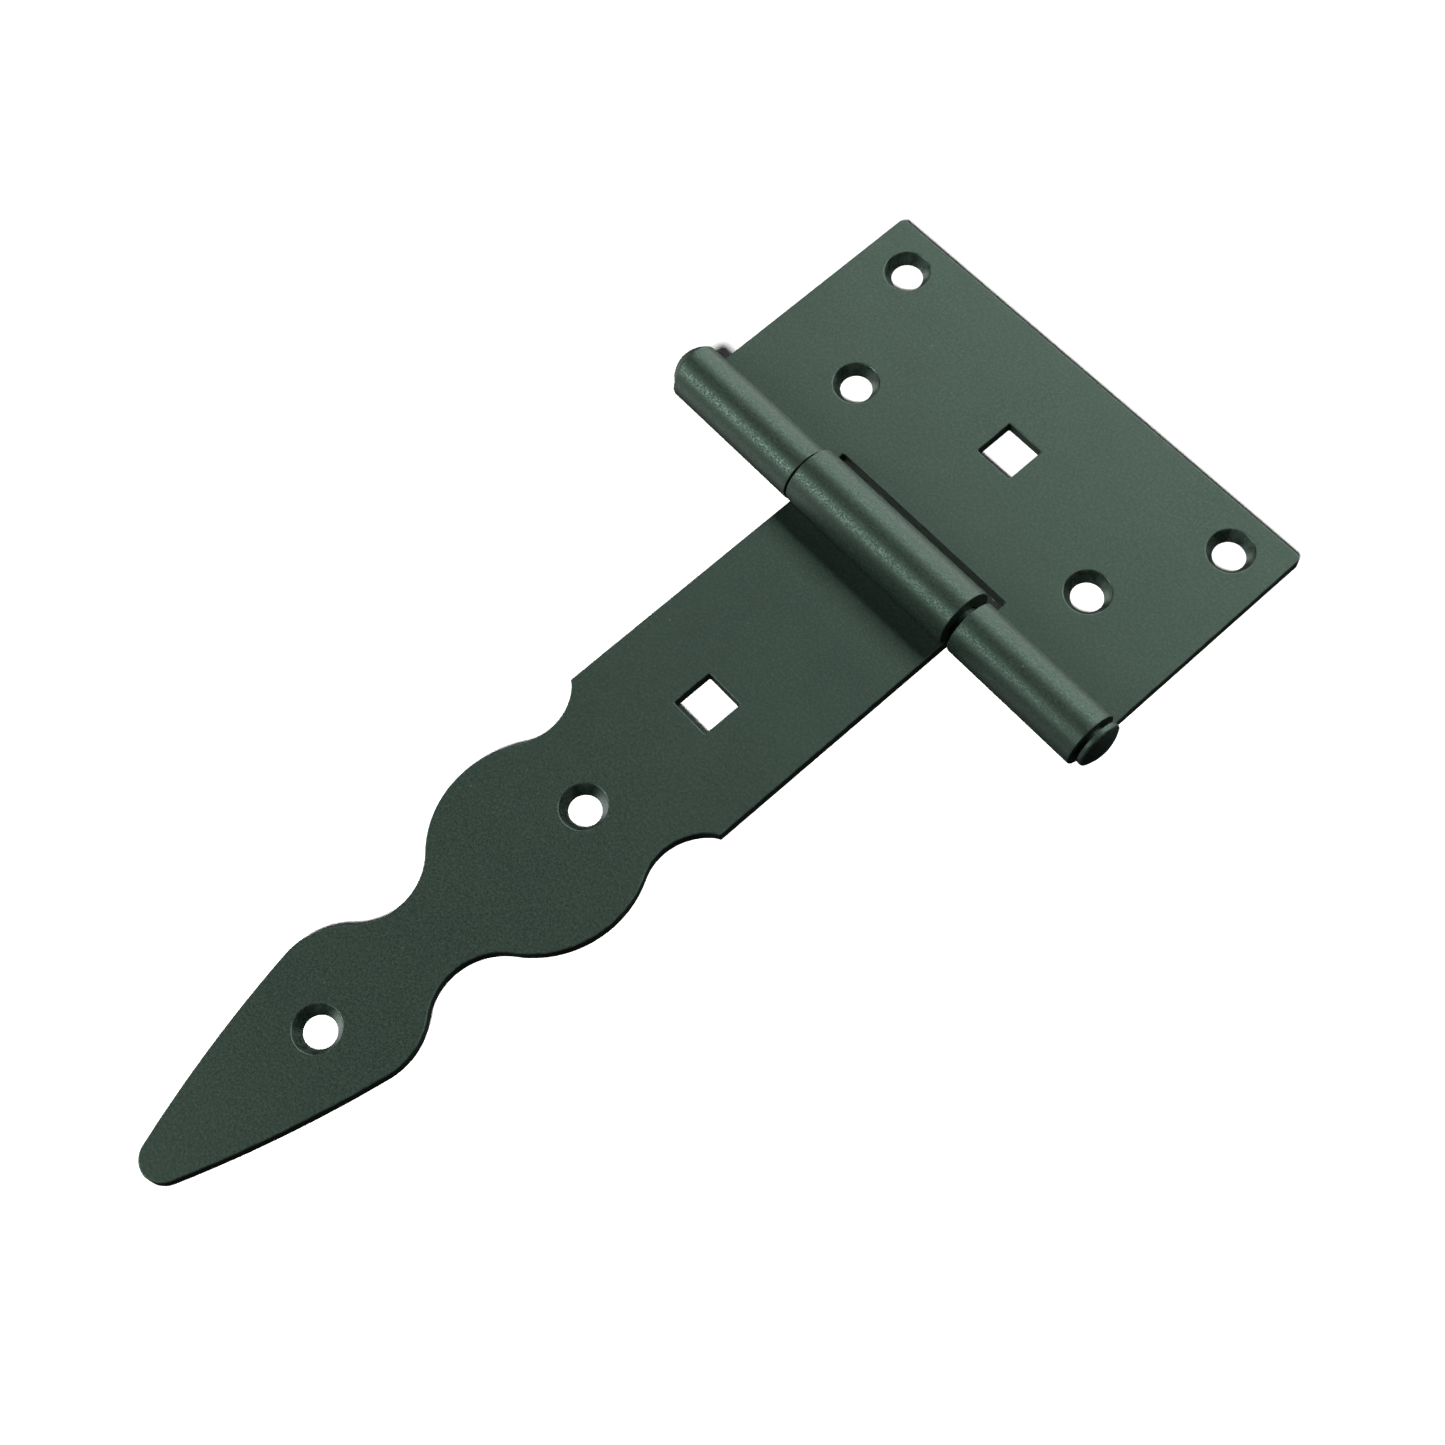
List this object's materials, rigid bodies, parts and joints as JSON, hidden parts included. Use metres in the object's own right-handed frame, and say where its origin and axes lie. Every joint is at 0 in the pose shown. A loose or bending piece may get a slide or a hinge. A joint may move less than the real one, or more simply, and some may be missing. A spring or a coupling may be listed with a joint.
{
  "type": "strap hinge",
  "caption": "Decorative strap hinge: a rectangular plate leaf and a long ornamental spade-tipped strap leaf, rolled round one pin with domed heads.",
  "frame": {"origin": "on the back plane that both leaves share, straight under the pin's axis and half way along the plate, where the strap's flat back begins", "axes": "+X along the pin, +Y from the pin towards the plate leaf's outer edge with the strap along -Y, +Z out of the front, where the barrel and the countersinks are"},
  "size_m": [0.1086, 0.2178, 0.0117],
  "materials": {
    "leaf_paint": "satin green-black powder coat",
    "pin_paint": "satin green-black powder coat"
  },
  "bodies": {
    "plate": {"plate_leaf": "leaf_paint", "hinge_pin": "pin_paint"},
    "strap": {"strap_leaf": "leaf_paint"}
  },
  "joints": [
    {"name": "strap_swing", "type": "hinge", "parent": "plate", "child": "strap", "pos_m": [0, 0, 0.0055], "axis": [-1, 0, 0], "range_deg": [0, 180]}
  ]
}
